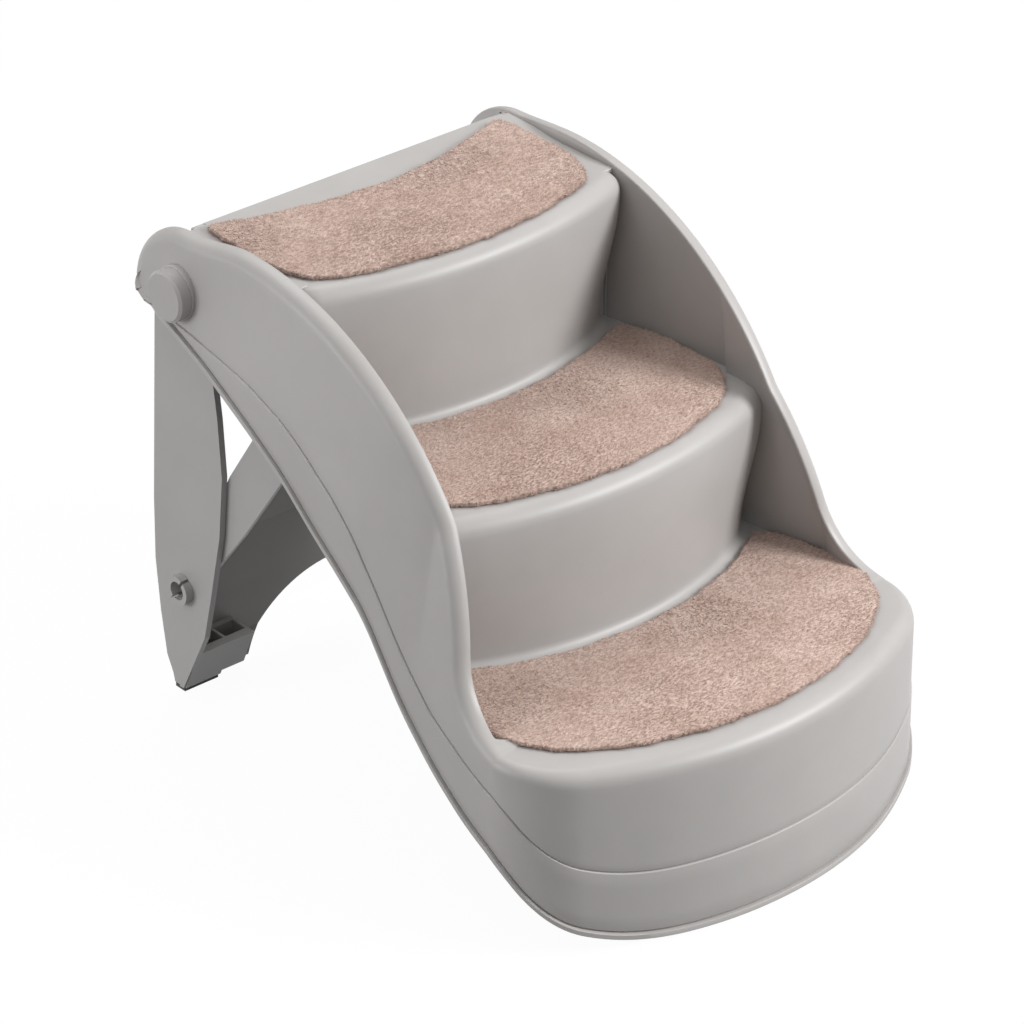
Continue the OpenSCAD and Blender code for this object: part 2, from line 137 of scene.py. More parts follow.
def rod(name, centre, radius, low, high, bevel):
    """A round bar across the stairs between two x."""
    bpy.ops.object.select_all(action="DESELECT")
    bpy.ops.mesh.primitive_cylinder_add(
        vertices=96, radius=radius * MM, depth=abs(high - low) * MM,
        location=((low + high) / 2 * MM, (centre[0] - HALF_DEPTH) * MM, centre[1] * MM),
        rotation=(0, math.pi / 2, 0))
    ob = bpy.context.object
    ob.name = ob.data.name = name
    bpy.ops.object.transform_apply(location=True, rotation=True, scale=True)
    round_edges(ob, bevel)
    smooth_faces(40)
    return ob


def both(make, *sizes):
    """Make a piece on the right and its twin on the left, each with its own mesh."""
    right = make(*sizes)
    select(right)
    bpy.ops.object.duplicate()
    left = bpy.context.object
    left.data.transform(Matrix.Scale(-1, 4, (1, 0, 0)))
    select(left)
    bpy.ops.object.mode_set(mode="EDIT")
    bpy.ops.mesh.select_all(action="SELECT")
    bpy.ops.mesh.flip_normals()
    bpy.ops.object.mode_set(mode="OBJECT")
    return [right, left]


def join(name, obs):
    select(*obs)
    bpy.ops.object.join()
    ob = bpy.context.view_layer.objects.active
    ob.name = ob.data.name = name
    return ob


def smoothstep(a, b, x):
    t = np.clip((np.asarray(x, float) - a) / (b - a), 0, 1)
    return t * t * (3 - 2 * t)


def arc(c, r, a, b, n):
    t = np.radians(np.linspace(a, b, n))
    return np.stack([c[0] + r * np.cos(t), c[1] + r * np.sin(t)], 1)


def spline(points, n):
    """A smooth curve through given points (Catmull-Rom), n steps from each to the next."""
    p = np.asarray(points, float)
    q = np.concatenate([2 * p[:1] - p[1:2], p, 2 * p[-1:] - p[-2:-1]])
    out = []
    for i in range(1, len(q) - 2):
        a, b, c, d = q[i - 1:i + 3]
        for t in np.linspace(0, 1, n, endpoint=False):
            out.append(0.5 * (2 * b + (c - a) * t + (2 * a - 5 * b + 4 * c - d) * t ** 2
                              + (3 * b - a - 3 * c + d) * t ** 3))
    return np.array(out + [p[-1]])


# ---------------------------------------------------------------- shell outlines
BOW, CORNER, HALF_FRONT = 390.0, 80.0, 228.0     # bow and corner radius of the front, half width
LIP = RISER[0]
SIDE = HALF_FRONT - CORNER
ROW = LIP + BOW - math.sqrt((BOW - CORNER) ** 2 - SIDE ** 2)     # y where the straight sides start
TURN = math.asin(SIDE / (BOW - CORNER))                          # angle where bow meets corner
S_BOW = BOW * TURN                                               # length of half the bow
S_CORNER = S_BOW + CORNER * (math.pi / 2 - TURN)                 # the same with its corner

ARCH, ARCH_R = (495.0, 162.0), 320.0     # long round of the rim over the steps
HEEL, HEEL_R = (572.0, 401.0), 73.0      # round of the rim behind the pins
FLARE_R = 74.0                           # hollow in which the rim runs out to the bottom tread
RIM_TOP = ARCH[1] + ARCH_R
CHEEK = 14.5                             # thickness of a cheek at its rim
FRONT_RIM = 27.5                         # how much wider the rim is around the front block
RIM_IN = 2.0                             # round of the rim's inner edge
DEEP = 60.0                              # depth below the rim at which the inner wall stops leaning
WALL_ROWS = 13
TUCK = 1.5                               # how far a tread's ends are sunk into the cheeks

# Read off the photograph along y: the lower edge, the step line's height above it, the half width
# at the foot, and the half width between the inner walls.
EDGE_Y = [0, 18, 32, 47, 61, 76, 94, 113, 156, 200, 243, 295, 343, 362, 409, 452, 484, 526, 576,
          611, 645]
EDGE_Z = [0, 0.5, 4, 13, 24, 37, 55, 73, 94, 124, 163, 229, 263, 275, 310, 333, 348, 366, 382,
          390, 392]
BAND_Y = [0, 100, 131, 170, 206, 246, 294, 315, 341, 376, 412, 463, 521, 562, 585, 640]
BAND_H = [68, 62, 58, 55, 50, 52, 52, 59, 63, 62, 55, 43, 24, 14, 8, 5]
HALF_Y = [0, 150, 450, 520, 580, 642]
HALF_X = [228, 228, 213.5, 208, 202, 197]
INNER_Y = [0, 127, 153, 180, 210, 251, 285, 330, 384, 435, 480, 560, 645]
INNER_X = [215, 219, 219, 216, 209, 200, 194, 189, 184, 176, 172, 169, 168]

# Sections of the skirt: height, and distance inwards from its face.
LIP_SECTION = ((0, 2.2), (0, -3.0), (0.5, -3.5), (4.6, -3.5), (5.2, -3.0), (5.5, 0.9),
               (6.6, 0.9), (7.2, -0.6), (8.0, -0.9))
STEP_LINE = ((-1.1, -0.75), (-0.6, -0.2), (-0.4, 1.1), (0.5, 1.2), (0.9, 0.3))
STEP_LINE_TOP = 1.8


def front_plan(s, d):
    """Point of the bowed front at the distance s from the middle, moved inwards by d."""
    if s <= S_BOW:
        t = s / BOW
        p = np.array([BOW * math.sin(t), LIP + BOW - BOW * math.cos(t)])
    else:
        t = TURN + (s - S_BOW) / CORNER
        p = np.array([SIDE + CORNER * math.sin(t), ROW - CORNER * math.cos(t)])
    return p + np.array([-math.sin(t), math.cos(t)]) * d


def eased(y, reach, ys, values):
    """A table read at y and evened out over a reach to both sides."""
    return float(np.mean(np.interp(y + np.linspace(-reach, reach, 5), ys, values)))


def edge_z(y):
    return eased(y, 12, EDGE_Y, EDGE_Z)


def inner_x(y):
    return eased(y, 24, INNER_Y, INNER_X)


def side_half(y):
    return eased(y, 30, HALF_Y, HALF_X)


def lean_x(y, z, rim_z):
    """Half width of the leaning cheek at a height; rim_z is the height of its rim there."""
    low_rim = 335.0                 # a lower rim leans as much as one of this height would
    foot = edge_z(y) + float(np.interp(y, BAND_Y, BAND_H))
    head = 191.5 + 4.5 * float(smoothstep(500, 560, y))
    k = float(np.clip((z - foot) / max(max(rim_z, low_rim) - foot, 1.0), 0, 1))
    return side_half(y) - (side_half(y) - head) * k * float(smoothstep(112, 172, y))


def wall_x(y, level):
    """Half width between the cheeks' inner walls at a tread."""
    flat_front = 5500               # square of the height that the rim keeps over the arch's centre
    rim_z = RIM_TOP
    if y <= ARCH[0]:
        rim_z = ARCH[1] + math.sqrt(max(ARCH_R ** 2 - (ARCH[0] - y) ** 2, flat_front))
    deep = min(1.0, max(0.0, rim_z + 2.0 - level) / DEEP)
    top = lean_x(y, rim_z, rim_z) - CHEEK
    return top + (inner_x(y) - top) * deep


def rim_stations():
    """Rim points from the rear end to the middle of the front, with the inward direction there."""
    out = []
    for a in np.radians(np.linspace(112, 0, 30)):
        u = np.array([math.sin(a), math.cos(a)])
        out.append((np.array(HEEL) + HEEL_R * u, -u))
    heel_top = HEEL[1] + HEEL_R
    for k in np.linspace(0, 1, 9)[1:-1]:
        rise = (RIM_TOP - heel_top) * float(smoothstep(0, 1, k))
        out.append((np.array([HEEL[0] - (HEEL[0] - ARCH[0]) * k, heel_top + rise]),
                    np.array([0, -1.0])))
    c = np.array(ARCH)
    flare_z = TREAD[0] + FLARE_R
    flare = np.array([c[0] - math.sqrt((ARCH_R + FLARE_R) ** 2 - (flare_z - c[1]) ** 2), flare_z])
    meet = math.degrees(math.atan2(flare[1] - c[1], flare[0] - c[0]))
    for a in np.radians(np.linspace(90, meet, 64)):
        u = np.array([math.cos(a), math.sin(a)])
        out.append((c + ARCH_R * u, -u))
    for a in np.radians(np.linspace(meet - 180, -90, 34)[1:]):
        u = np.array([math.cos(a), math.sin(a)])
        out.append((flare + FLARE_R * u, u))
    side = [(p, m, False) for p, m in out if p[0] > ROW and p[1] > edge_z(p[0]) + 7]
    along = np.concatenate([np.linspace(S_CORNER, S_BOW, 26), np.linspace(S_BOW, 0, 24)[1:]])
    return side + [(np.array([s, TREAD[0]]), np.array([0, -1.0]), True) for s in along]


# ---------------------------------------------------------------- shell
def skirt_points(s, ez, band, full):
    """Lip, band and step line. full is 1 where they have their whole size, less at the rear."""
    low = min(LIP_SECTION[-1][0] * full, band - 3.2)
    pts = [(s, ez + up * full, d * full) for up, d in LIP_SECTION]
    pts += [(s, ez + low + (band - low - 1.6) * k, LIP_SECTION[-1][1] * full)
            for k in np.linspace(0, 1, 5)[1:]]
    pts += [(s, ez + band + up, d * full) for up, d in STEP_LINE]
    return pts + [(s, ez + band + STEP_LINE_TOP, 0.0)]


def outer_points(start, p, m, r_out):
    """The plain side above the step line, then the soft outer edge of the rim."""
    rim = p + m * r_out
    pts = [(*(start + (rim - start) * k), 0.0) for k in np.linspace(0, 1, 15)[1:]]
    for a in np.radians(np.linspace(0, 90, 9)[1:]):
        pts.append((*(p + m * r_out * (1 - math.sin(a))), r_out * (1 - math.cos(a))))
    return pts


def rim_points(p, m, r_out, t):
    """The flat of the rim and its inner edge."""
    pts = [(p[0], p[1], r_out + (t - RIM_IN - r_out) * 0.5)]
    for a in np.radians(np.linspace(90, 0, 8)):
        pts.append((*(p + m * RIM_IN * (1 - math.sin(a))), t - RIM_IN * (1 - math.cos(a))))
    return pts


def build_wrap():
    """Skirt with lip and step line, rim, inner wall and bowed front as one sheet."""
    cols = []
    for p, m, in_front in rim_stations():
        y_here = p[0] if not in_front else front_plan(p[0], 0)[1]
        ez = edge_z(y_here)
        near = 1.0 if in_front else 1 - float(smoothstep(TREAD[0], TREAD[0] + 5.5, p[1]))
        r_out = 10.5 + 5.0 * (float(smoothstep(0, 120, S_CORNER - p[0])) if in_front else 0)
        t = CHEEK + FRONT_RIM * near
        top_x = lean_x(y_here, p[1], p[1]) - t
        room = p[1] - ez
        band = min(float(np.interp(y_here, BAND_Y, BAND_H)), room * 0.66)
        full = min(1.0, room / 40.0) * (1 - 0.9 * float(smoothstep(596, 640, y_here)))
        pts = skirt_points(p[0], ez, band, full)
        pts += outer_points(np.array(pts[-1][:2]), p, m, r_out)
        n_outer = len(pts)
        pts += rim_points(p, m, r_out, t)
        n_rim = len(pts)

        step_z = TREAD[0 if y_here < 290 else 1 if y_here < 452 else 2] - 4
        if y_here > 592:
            step_z = ez + 3
        head = p + m * RIM_IN
        foot = np.array([head[0], min(step_z, head[1] - 1)])
        deep = min(1.0, (head[1] - step_z) / DEEP)
        pts += [(*(head + (foot - head) * k), t) for k in np.linspace(0, 1, WALL_ROWS + 1)[1:]]

        col = []
        for i, (s, z, d) in enumerate(pts):
            if i >= n_outer and y_here < 300:            # the rim is level with the bottom tread
                z = max(z, TREAD[0] - 0.35 if i > n_outer else TREAD[0])
            if s > 590 and z < 412:                      # the rear end curls forward below the pins
                s -= 0.08 * (412 - z) ** 1.8 * float(smoothstep(590, 645, s))
            if in_front:
                x, y = front_plan(p[0], d)
            else:
                x, y = lean_x(y_here, z, p[1]) - d, s
                if i >= n_rim:
                    k = (i - n_rim + 1) / WALL_ROWS
                    x = top_x + (inner_x(y_here) - top_x) * k ** 0.7 * deep
            col.append((x, y, z))
        cols.append(col)
    right = np.array(cols)                       # station, row, xyz
    left = right[::-1][1:].copy()
    left[:, :, 0] *= -1
    return bent_grid("shell_wrap", np.concatenate([right, left]))


NOSE_R, FILLET = 16.0, 9.0        # rounds at the top and at the foot of a riser
CORNER_POINTS = 28
TREAD_SHARES = (0.015, 0.03, 0.05, 0.075, 0.1, 0.14, 0.2, 0.3, 0.4, 0.5, 0.6, 0.7, 0.8, 0.9, 1.0)
STEP_BOW, STEP_BACK = 350.0, 10.0      # bow of the risers' feet, and how far a tread runs past it


def riser_plan(front, half, bow, corner):
    """Plan of a bowed riser with round corners, from its left end to its right end."""
    side = half - corner
    row = front + bow - math.sqrt((bow - corner) ** 2 - side ** 2)
    turn = math.degrees(math.asin(side / (bow - corner)))
    right = np.concatenate([
        arc((0, front + bow), bow, 270, 270 + turn, 40)[1:],
        arc((side, row), corner, 270 + turn, 360, 26)[1:],
        np.array([[half, row + 3]])])
    return np.concatenate([right[::-1] * [-1, 1], [[0, front]], right])


def inward(pts):
    tang = np.gradient(pts, axis=0)
    nrm = np.stack([-tang[:, 1], tang[:, 0]], 1)
    return nrm / np.linalg.norm(nrm, axis=1)[:, None]


def build_step(level, below, foot, head, back, end_y):
    """Riser, rounded nose and tread as one sheet. foot and head are the plans of the riser at its
    bottom and at its nose; back gives the rear edge of the tread at each x; end_y is where the
    riser ends beside the cheeks, because the leg folds past behind it."""
    lo, hi = riser_plan(*foot), riser_plan(*head)
    rows = []

    def ring(q, z):
        k = float(smoothstep(0.05, 1.0, (z - below) / (level - NOSE_R - below)))
        pts = lo + (hi - lo) * k
        e = pts + inward(pts) * q
        limit = np.array([wall_x(y, max(z, below)) + TUCK for y in e[:, 1]])
        e[:, 0] = np.clip(e[:, 0], -limit, limit)
        e[:, 1] = np.minimum(e[:, 1], end_y)
        rows.append(np.stack([e[:, 0], e[:, 1], np.full(len(e), z)], 1))

    ring(-FILLET, below - 0.4)
    ring(-FILLET, below + 0.2)
    for a in np.radians(np.linspace(0, 90, 7)[1:]):
        ring(-FILLET + FILLET * math.sin(a), below + 0.2 + FILLET * (1 - math.cos(a)))
    for z in np.linspace(below + FILLET, level - NOSE_R, 14)[1:]:
        ring(0, z)
    for a in np.radians(np.linspace(0, 90, 12)[1:]):
        ring(NOSE_R * (1 - math.cos(a)), level - NOSE_R + NOSE_R * math.sin(a))
    inner = rows[-1]
    rear = np.stack([inner[:, 0], [back(x) for x in inner[:, 0]], inner[:, 2]], 1)
    rear[:, 1] = np.maximum(rear[:, 1], inner[:, 1] + 1)
    even = inner[:, 0].copy()                            # the corner's points, spread evenly across
    even[-CORNER_POINTS:] = np.linspace(even[-CORNER_POINTS], even[-1], CORNER_POINTS)
    even[:CORNER_POINTS] = -even[-CORNER_POINTS:][::-1]
    for k in TREAD_SHARES:
        row = inner + (rear - inner) * k
        row[:, 0] += (even - inner[:, 0]) * min(1.0, k / TREAD_SHARES[1])
        limit = np.array([wall_x(y, level) + TUCK for y in row[:, 1]])
        row[:, 0] = np.clip(row[:, 0], -limit, limit)
        rows.append(row)
    return bent_grid("step", rows)


def bow_back(front):
    """Rear edge of a tread that ends behind the riser whose foot has this front."""
    def at(x):
        return front + STEP_BOW - math.sqrt(STEP_BOW ** 2 - min(abs(x), 200.0) ** 2) + STEP_BACK
    return at


def bottom_tread():
    """The flat of the bottom step, from just behind the front nose back to the middle riser."""
    edge = np.array([front_plan(t, 41.3) for t in np.linspace(0, S_CORNER, 160)])
    back = bow_back(RISER[1])
    xs = np.linspace(-217.0, 217.0, 81)
    front = np.interp(np.abs(xs), edge[:, 0], edge[:, 1])
    rear = np.array([back(x) for x in xs])
    rows = []
    for k in np.linspace(0, 1, 24):
        y = front + (rear - front) * k
        limit = np.array([wall_x(v, TREAD[0]) + TUCK if v > ROW else 400 for v in y])
        rows.append(np.column_stack([np.clip(xs, -limit, limit), y, np.full(len(xs), TREAD[0])]))
    return bent_grid("step", rows)


def tread_ends(level, x_in, y_front, y_back):
    """What fills a tread out to the cheeks behind its rounded nose: a thin ledge on each side,
    a hair below the tread, and a short block that closes the corner below it."""
    x_in -= 4
    x_out = wall_x(y_front, level) + TUCK
    ledge = [(x_in, y_front)]
    ledge += [(wall_x(y, level) + TUCK, y) for y in np.linspace(y_front, y_back, 14)]
    ledge += [(x_in, y_back)]
    front, rear = y_front - 1.5, y_front + 5
    block = [(x_in, front), (x_out, front), (x_out, rear), (x_in, rear)]
    return (both(outline_plate, "tread_ledge", ledge, 2, level - WALL, level - 0.05, 0)
            + both(outline_plate, "nose_corner", block, 2, level - 20, level - 0.1, 1.2))


wrap = build_wrap()
step1 = bottom_tread()
step2 = build_step(TREAD[1], TREAD[0], (RISER[1] + 2, 197, STEP_BOW, 60),
                   (RISER[1] - 1, 197, 470, 22), bow_back(RISER[2]), 281)
step3 = build_step(TREAD[2], TREAD[1], (RISER[2] + 2, 177, STEP_BOW, 62),
                   (RISER[2] - 1, 179, 480, 20), lambda x: 582.0, 440)
ends = tread_ends(TREAD[1], 181, 264, 398) + tread_ends(TREAD[2], 163, 434, 578)
rear_edge = outline_plate("rear_edge", [(578, 466), (583, 466), (583, 471.5), (578, 471.5)],
                          0, -176, 176, 1.2)
bar_seat = [tuple(p) for p in arc(LATCH, 7.5, 180, 360, 11)]
rib_line = ([(500, 375), (467.4, 349), (467.4, 288)] + bar_seat
            + [(486, 288), (493, 288), (493, 265), (456, 262.5), (425, 303.5), (425, 470),
               (500, 470)])
plate_line = [(530, 470), (530, 379), (613, 379), (613, 442), (586, 468), (584, 470)]
ribs = both(outline_plate, "latch_rib", rib_line, 0, 133, 137, 0.5)
plates = both(outline_plate, "hinge_plate", plate_line, 0, 178, 181.2, 0.5)
bosses = both(rod, "pin_boss", HINGE, 17.4, 180, 186.4, 0.5)
sleeves = both(rod, "cap_sleeve", HINGE, 17.4, 192.8, 200, 0.5)
seats = both(rod, "cap_seat", HINGE, 25.2, 198, 204.2, 0.8)
shell = join("shell", [wrap, step1, step2, step3, rear_edge] + ends + ribs + plates + bosses
             + sleeves + seats)
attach(shell, "shell")
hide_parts("stair_shell")


# ---------------------------------------------------------------- carpet pads
PAD_LOW, PAD_HIGH = 0.3, 4.6      # underside and top of the backing above the tread
TAPE_HIGH, TAPE_SHARE = 0.45, 0.93
# Tufts on the top and around the edge. Real pile has far more and finer ones.
TUFTS = ((30000, 5200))


def pad_outline(front, rear):
    """Closed plan of a pad, a point every 2.2, from the right half of its two edges."""
    right = spline(front + rear, 10)
    left = right[::-1][1:-1] * [-1, 1]
    line = np.concatenate([right, left, right[:1]])
    s = np.concatenate([[0], np.cumsum(np.linalg.norm(np.diff(line, axis=0), axis=1))])
    even = np.linspace(0, s[-1], int(s[-1] / 2.2), endpoint=False)
    return np.stack([np.interp(even, s, line[:, 0]), np.interp(even, s, line[:, 1])], 1)


def points_inside(line, count):
    """Random points in the plan of a pad."""
    cand = rng.uniform(line.min(0), line.max(0), (count, 2))
    inside = np.zeros(count, bool)
    for a, b in zip(line, np.roll(line, -1, 0)):
        hit = ((a[1] > cand[:, 1]) != (b[1] > cand[:, 1]))
        if hit.any():
            cross = a[0] + (cand[:, 1] - a[1]) * (b[0] - a[0]) / (b[1] - a[1] + 1e-12)
            inside ^= hit & (cand[:, 0] < cross)
    return cand[inside]


def build_pile(name, level, line, nrm):
    """Short three-sided tufts that lean a little, combed in soft swirls, and a fringe at the edge.
    Made as one mesh, because so many are too many to place one by one."""
    n_top, n_edge = TUFTS
    roots = points_inside(line, int(n_top * 1.5))
    n = len(roots)
    swirl = (0.8 * np.sin(roots[:, 0] / 37.0) + 0.9 * np.cos(roots[:, 1] / 29.0 + 0.6)
             + rng.normal(0, 0.55, n) + 0.5)
    lean = np.stack([np.cos(swirl), np.sin(swirl)], 1)
    base = np.column_stack([roots, np.full(n, level + 4.2)])
    tip = base + np.column_stack([lean * rng.uniform(1.2, 2.6, (n, 1)), rng.uniform(0.9, 1.7, n)])

    pick = rng.integers(0, len(line), n_edge)
    at = line[pick] + rng.normal(0, 0.5, (n_edge, 2))
    out = -nrm[pick] + rng.normal(0, 0.5, (n_edge, 2))
    up_z = level + rng.uniform(0.6, 4.4, n_edge)
    edge_base = np.column_stack([at + nrm[pick] * 0.6, up_z])
    edge_tip = edge_base + np.column_stack([out * rng.uniform(0.8, 2.3, (n_edge, 1)),
                                            rng.uniform(-0.6, 0.9, n_edge)])
    base, tip = np.vstack([base, edge_base]), np.vstack([tip, edge_tip])

    d = tip - base
    side = np.cross(d, [0, 0, 1.0])
    side /= np.linalg.norm(side, axis=1)[:, None] + 1e-9
    up = np.cross(side, d)
    up /= np.linalg.norm(up, axis=1)[:, None] + 1e-9
    w = rng.uniform(0.35, 0.7, (len(base), 1))
    verts = np.concatenate([base + side * w, base - side * w * 0.8 + up * w * 0.5,
                            base - up * w * 0.8, tip], 1).reshape(-1, 3)
    verts[:, 1] -= HALF_DEPTH
    i = np.arange(len(base)) * 4
    faces = np.concatenate([np.stack([i, i + 1, i + 3], 1), np.stack([i + 1, i + 2, i + 3], 1),
                            np.stack([i + 2, i, i + 3], 1)])
    me = bpy.data.meshes.new(name + "_pile")
    me.from_pydata((verts * MM).tolist(), [], faces.tolist())
    pile = bpy.data.objects.new(name + "_pile", me)
    bpy.context.collection.objects.link(pile)
    return pile


def build_pad(where, level, front, rear, shift_x, left=1.0):
    """A pad and the tape under it. left widens the pad's left half, as in the photograph."""
    name = where + "_carpet"
    line = pad_outline(front, rear)
    line[:, 0] = np.where(line[:, 0] < 0, line[:, 0] * left, line[:, 0]) + shift_x
    nrm = inward(np.vstack([line[-1:], line, line[:1]]))[1:-1]
    k = np.arange(len(line))
    ragged = 0.9 * np.sin(k * 0.21 + 1) + 0.6 * np.sin(k * 0.53) + rng.normal(0, 0.45, len(k))
    line = line - nrm * ragged[:, None] * 0.7
    slab = outline_plate(name + "_slab", line, 2, level + PAD_LOW, level + PAD_HIGH, 1.5)
    pad = join(name, [slab, build_pile(name, level, line, nrm)])
    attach(pad, "shell")
    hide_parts(name)
    middle = line.mean(0)
    tape = outline_plate(where + "_tape_sheet", middle + (line[::3] - middle) * TAPE_SHARE, 2,
                         level, level + TAPE_HIGH, 0)
    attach(tape, "shell")
    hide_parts(where + "_tape")
    return pad, tape


pads = [
    build_pad("bottom", TREAD[0],
              [(0, 30), (50, 34), (100, 46), (140, 62), (168, 80), (190, 101), (205, 127)],
              [(210, 153), (208, 180), (202, 208), (194, 236), (182, 248), (165, 239), (140, 225),
               (100, 209.5), (50, 198.6), (0, 195)], 4.0),
    build_pad("middle", TREAD[1],
              [(0, 221), (50, 224.8), (100, 236.3), (135, 249.5), (157, 264), (172, 284),
               (180, 308)],
              [(181, 335), (179, 368), (174, 396), (165, 411), (150, 407), (125, 397),
               (100, 388.5), (50, 377.5), (0, 374)], 3.0),
    build_pad("top", TREAD[2],
              [(0, 399.5), (50, 403.5), (90, 411.5), (122, 420), (144, 434), (156, 457),
               (160, 485)],
              [(160, 524), (158, 560), (150, 567), (125, 558), (92, 548), (51, 539), (0, 534)],
              2.0, 1.09)]


# ---------------------------------------------------------------- finishes
def linear(hex_colour):
    c = [int(hex_colour[k:k + 2], 16) / 255 for k in (1, 3, 5)]
    return [v / 12.92 if v <= 0.04045 else ((v + 0.055) / 1.055) ** 2.4 for v in c] + [1.0]


def add_node(tree, kind, feeds=None, **values):
    """Add one shader node with its settings and with what feeds its sockets."""
    n = tree.nodes.new("ShaderNode" + kind)
    for key, value in values.items():
        if key in n.inputs:
            n.inputs[key].default_value = value
        else:
            setattr(n, key, value)
    for socket, source in (feeds or {}).items():
        tree.links.new(source, n.inputs[socket])
    return n


def new_material(name):
    mat = bpy.data.materials.new(name)
    mat.use_nodes = True
    return mat, mat.node_tree, mat.node_tree.nodes["Principled BSDF"]


def two_tone(nt, fac, low, dark, high, light):
    """Colour between two tones, by a pattern's value from low to high."""
    ramp = add_node(nt, "ValToRGB", {"Fac": fac})
    for stop, position, colour in zip(ramp.color_ramp.elements, (low, high), (dark, light)):
        stop.position, stop.color = position, linear(colour)
    return ramp.outputs["Color"]


def mottled(nt, bsdf, dark, light, patch_mm, grain_mm, bump, rough, spread=0.06):
    """Colour that drifts over a patch size, roughness that follows it and a fine raised grain."""
    co = add_node(nt, "TexCoord").outputs["Object"]
    patch = add_node(nt, "TexNoise", {"Vector": co}, Scale=1000 / patch_mm, Detail=4.0,
                     Roughness=0.6)
    grain = add_node(nt, "TexNoise", {"Vector": co}, Scale=1000 / grain_mm, Detail=2.0,
                     Roughness=0.5)
    colour = two_tone(nt, patch.outputs["Fac"], 0.3, dark, 0.7, light)
    worn = add_node(nt, "MapRange", {"Value": patch.outputs["Fac"]},
                    **{"To Min": rough - spread, "To Max": rough + spread})
    relief = add_node(nt, "Bump", {"Height": grain.outputs["Fac"]}, Strength=bump, Distance=0.0004)
    nt.links.new(colour, bsdf.inputs["Base Color"])
    nt.links.new(worn.outputs["Result"], bsdf.inputs["Roughness"])
    nt.links.new(relief.outputs["Normal"], bsdf.inputs["Normal"])
    return co, patch, colour


def moulded_plastic(name, dark, light, rough=0.42, bump=0.25):
    """Injection moulded: nearly even colour over 90 mm patches and a fine mould grain. The grain
    is drawn at 0.7 mm, coarser than a real one, to show at all."""
    mat, nt, bsdf = new_material(name)
    mottled(nt, bsdf, dark, light, 90, 0.7, bump, rough)
    bsdf.inputs["IOR"].default_value = 1.49
    return mat


def pile_fabric(name):
    """Cut pile of synthetic yarn: dull, with a soft sheen at grazing light. Light and dark tufts
    come in strokes of about 4 mm, combed to one side, over 38 mm drifts of tone."""
    mat, nt, bsdf = new_material(name)
    co, strokes, colour = mottled(nt, bsdf, "#9C8378", "#DAC3B7", 4.2, 0.9, 0.5, 0.93, 0.03)
    comb = add_node(nt, "Mapping", {"Vector": co}, Rotation=(0, 0, math.radians(35)),
                    Scale=(1.0, 2.6, 1.0))
    nt.links.new(comb.outputs["Vector"], strokes.inputs["Vector"])
    wide = add_node(nt, "TexNoise", {"Vector": co}, Scale=1000 / 38, Detail=3.0)
    tone = two_tone(nt, wide.outputs["Fac"], 0.25, "#E6DEDA", 0.75, "#FFFFFF")
    mix = add_node(nt, "Mix", data_type="RGBA", blend_type="MULTIPLY")
    mix.inputs[0].default_value = 1.0
    nt.links.new(colour, mix.inputs[6])
    nt.links.new(tone, mix.inputs[7])
    nt.links.new(mix.outputs[2], bsdf.inputs["Base Color"])
    bsdf.inputs["Sheen Weight"].default_value = 0.35
    bsdf.inputs["Sheen Roughness"].default_value = 0.5
    bsdf.inputs["IOR"].default_value = 1.45
    return mat


def plated_steel(name, colour, rough):
    """Zinc plated spring steel: one cool colour, with roughness that varies over 12 mm."""
    mat, nt, bsdf = new_material(name)
    mottled(nt, bsdf, colour, colour, 12, 0.4, 0.2, rough)
    bsdf.inputs["Metallic"].default_value = 1.0
    return mat


SHELL = moulded_plastic("grey_moulded_polypropylene", "#A9A6A4", "#AFACAA")
LEG = moulded_plastic("grey_moulded_leg_polypropylene", "#A5A3A2", "#ABA9A8")
CARPET = pile_fabric("rose_beige_cut_pile_carpet")
TAPE = moulded_plastic("white_carpet_tape", "#DEDCD6", "#E8E6E0", 0.6, 0.1)
WASHER = moulded_plastic("white_nylon_washer", "#E2E0DA", "#ECEAE6", 0.35, 0.05)
RUBBER = moulded_plastic("dark_moulded_rubber", "#3A3A3B", "#454546", 0.7, 0.4)
STEEL = plated_steel("zinc_plated_steel", "#C9CCCF", 0.3)


def wear(ob, mat):
    ob.data.materials.clear()
    ob.data.materials.append(mat)


wear(shell, SHELL)
for pad, tape in pads:
    wear(pad, CARPET)
    wear(tape, TAPE)
for name, mat in (("rear_leg", LEG), ("brace", LEG), ("hinge_pin_left", SHELL),
                  ("hinge_pin_right", SHELL), ("hinge_washer_left", WASHER),
                  ("hinge_washer_right", WASHER), ("hinge_clip_left", STEEL),
                  ("hinge_clip_right", STEEL), ("rear_foot_left", RUBBER),
                  ("rear_foot_right", RUBBER)):
    wear(bpy.data.objects[name], mat)


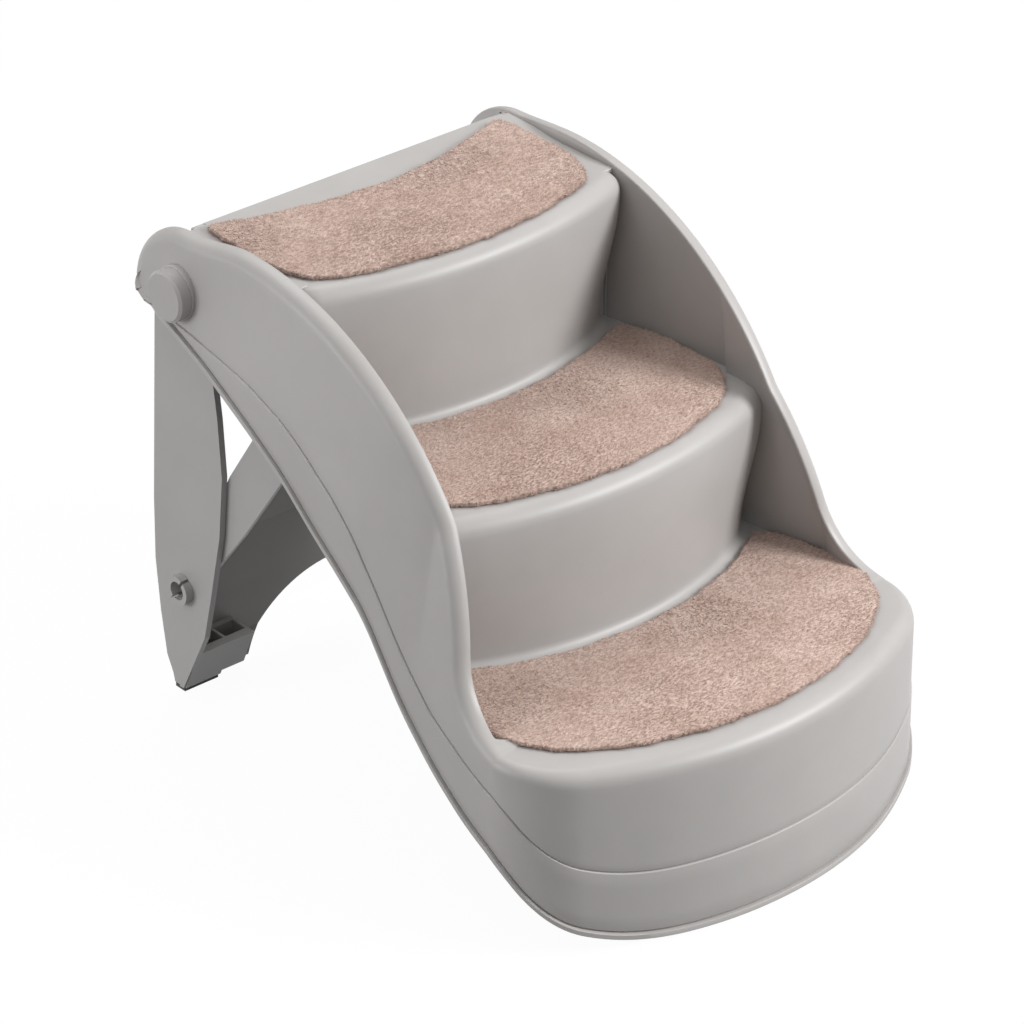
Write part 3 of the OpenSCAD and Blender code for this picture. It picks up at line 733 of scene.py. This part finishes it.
# ---------------------------------------------------------------- floor, camera and light
def build_floor():
    """A plane that looks white to the camera, to gloss and to glass, and keeps the shadow."""
    bpy.ops.object.select_all(action="DESELECT")
    bpy.ops.mesh.primitive_plane_add(size=14, location=(0, 0, -0.0004))
    ob = bpy.context.object
    ob.name = "floor"
    mat, nt, bsdf = new_material("white_studio_floor")
    bsdf.inputs["Base Color"].default_value = (0.16, 0.16, 0.16, 1)
    bsdf.inputs["Roughness"].default_value = 0.9
    path = add_node(nt, "LightPath")
    glow = add_node(nt, "Emission", Color=(1, 1, 1, 1), Strength=1.2)
    camera_or_gloss = add_node(nt, "Math", {0: path.outputs["Is Camera Ray"],
                                            1: path.outputs["Is Glossy Ray"]}, operation="MAXIMUM")
    any_of_three = add_node(nt, "Math", {0: camera_or_gloss.outputs[0],
                                         1: path.outputs["Is Transmission Ray"]},
                            operation="MAXIMUM")
    share = add_node(nt, "Math", {0: any_of_three.outputs[0]}, operation="MULTIPLY")
    share.inputs[1].default_value = 0.8
    mixer = add_node(nt, "MixShader", {0: share.outputs[0], 1: bsdf.outputs[0],
                                       2: glow.outputs[0]})
    nt.links.new(mixer.outputs[0], nt.nodes["Material Output"].inputs["Surface"])
    ob.data.materials.append(mat)
    return ob


def build_camera():
    """The camera fitted to the photograph: focal length 5138.7 pixels on a frame of 1024."""
    cam = bpy.data.cameras.new("camera")
    ob = bpy.data.objects.new("camera", cam)
    bpy.context.collection.objects.link(ob)
    cam.sensor_width = 36
    cam.lens = 5138.7 / 1024 * cam.sensor_width
    cam.clip_end = 50
    az, el = math.radians(-40.59), math.radians(30.01)
    back = Vector((math.sin(az) * math.cos(el), -math.cos(az) * math.cos(el), math.sin(el)))
    right = Vector((math.cos(az), math.sin(az), 0))
    eye = Vector((-2.543, -2.6058 - HALF_DEPTH * MM, 2.4763))
    turn = Matrix((right, back.cross(right), back)).transposed().to_4x4()
    ob.matrix_world = Matrix.Translation(eye) @ turn
    bpy.context.scene.camera = ob


def build_world():
    """Soft studio light from above, fading downwards, with a white backdrop for the camera."""
    world = bpy.data.worlds.new("world")
    bpy.context.scene.world = world
    world.use_nodes = True
    wt = world.node_tree
    light = wt.nodes["Background"]
    light.inputs[0].default_value = (1, 1, 1, 1)
    split = add_node(wt, "SeparateXYZ", {0: add_node(wt, "TexCoord").outputs["Generated"]})
    rise = add_node(wt, "MapRange", {"Value": split.outputs["Z"]},
                    **{"From Min": 0.0, "From Max": 0.7, "To Min": 0.16, "To Max": 0.72})
    wt.links.new(rise.outputs["Result"], light.inputs[1])
    white = add_node(wt, "Background")
    white.inputs[1].default_value = 1.0
    pick = add_node(wt, "MixShader", {0: add_node(wt, "LightPath").outputs["Is Camera Ray"],
                                      1: light.outputs[0], 2: white.outputs[0]})
    wt.links.new(pick.outputs[0], wt.nodes["World Output"].inputs["Surface"])


def softbox(name, stand, aim, size, power):
    """A soft lamp: place and aim in metres, size in metres, power in watts."""
    light = bpy.data.lights.new(name, "AREA")
    light.shape = "RECTANGLE"
    light.size, light.size_y = size
    light.energy = power
    ob = bpy.data.objects.new(name, light)
    bpy.context.collection.objects.link(ob)
    ob.location = stand
    ob.rotation_euler = (Vector(aim) - Vector(stand)).to_track_quat("-Z", "Y").to_euler()


floor = build_floor()
build_camera()
build_world()
softbox("key_right_front", (1.7, -2.2, 1.9), (0, 0, 0.2), (1.3, 1.1), 101)
softbox("top_rear", (0.2, 1.0, 2.2), (0, 0.1, 0.3), (1.6, 1.2), 15)
softbox("side_left", (-2.6, 1.2, 0.8), (0, 0.1, 0.3), (1.4, 0.9), 30)
bpy.context.scene.view_settings.view_transform = "Standard"
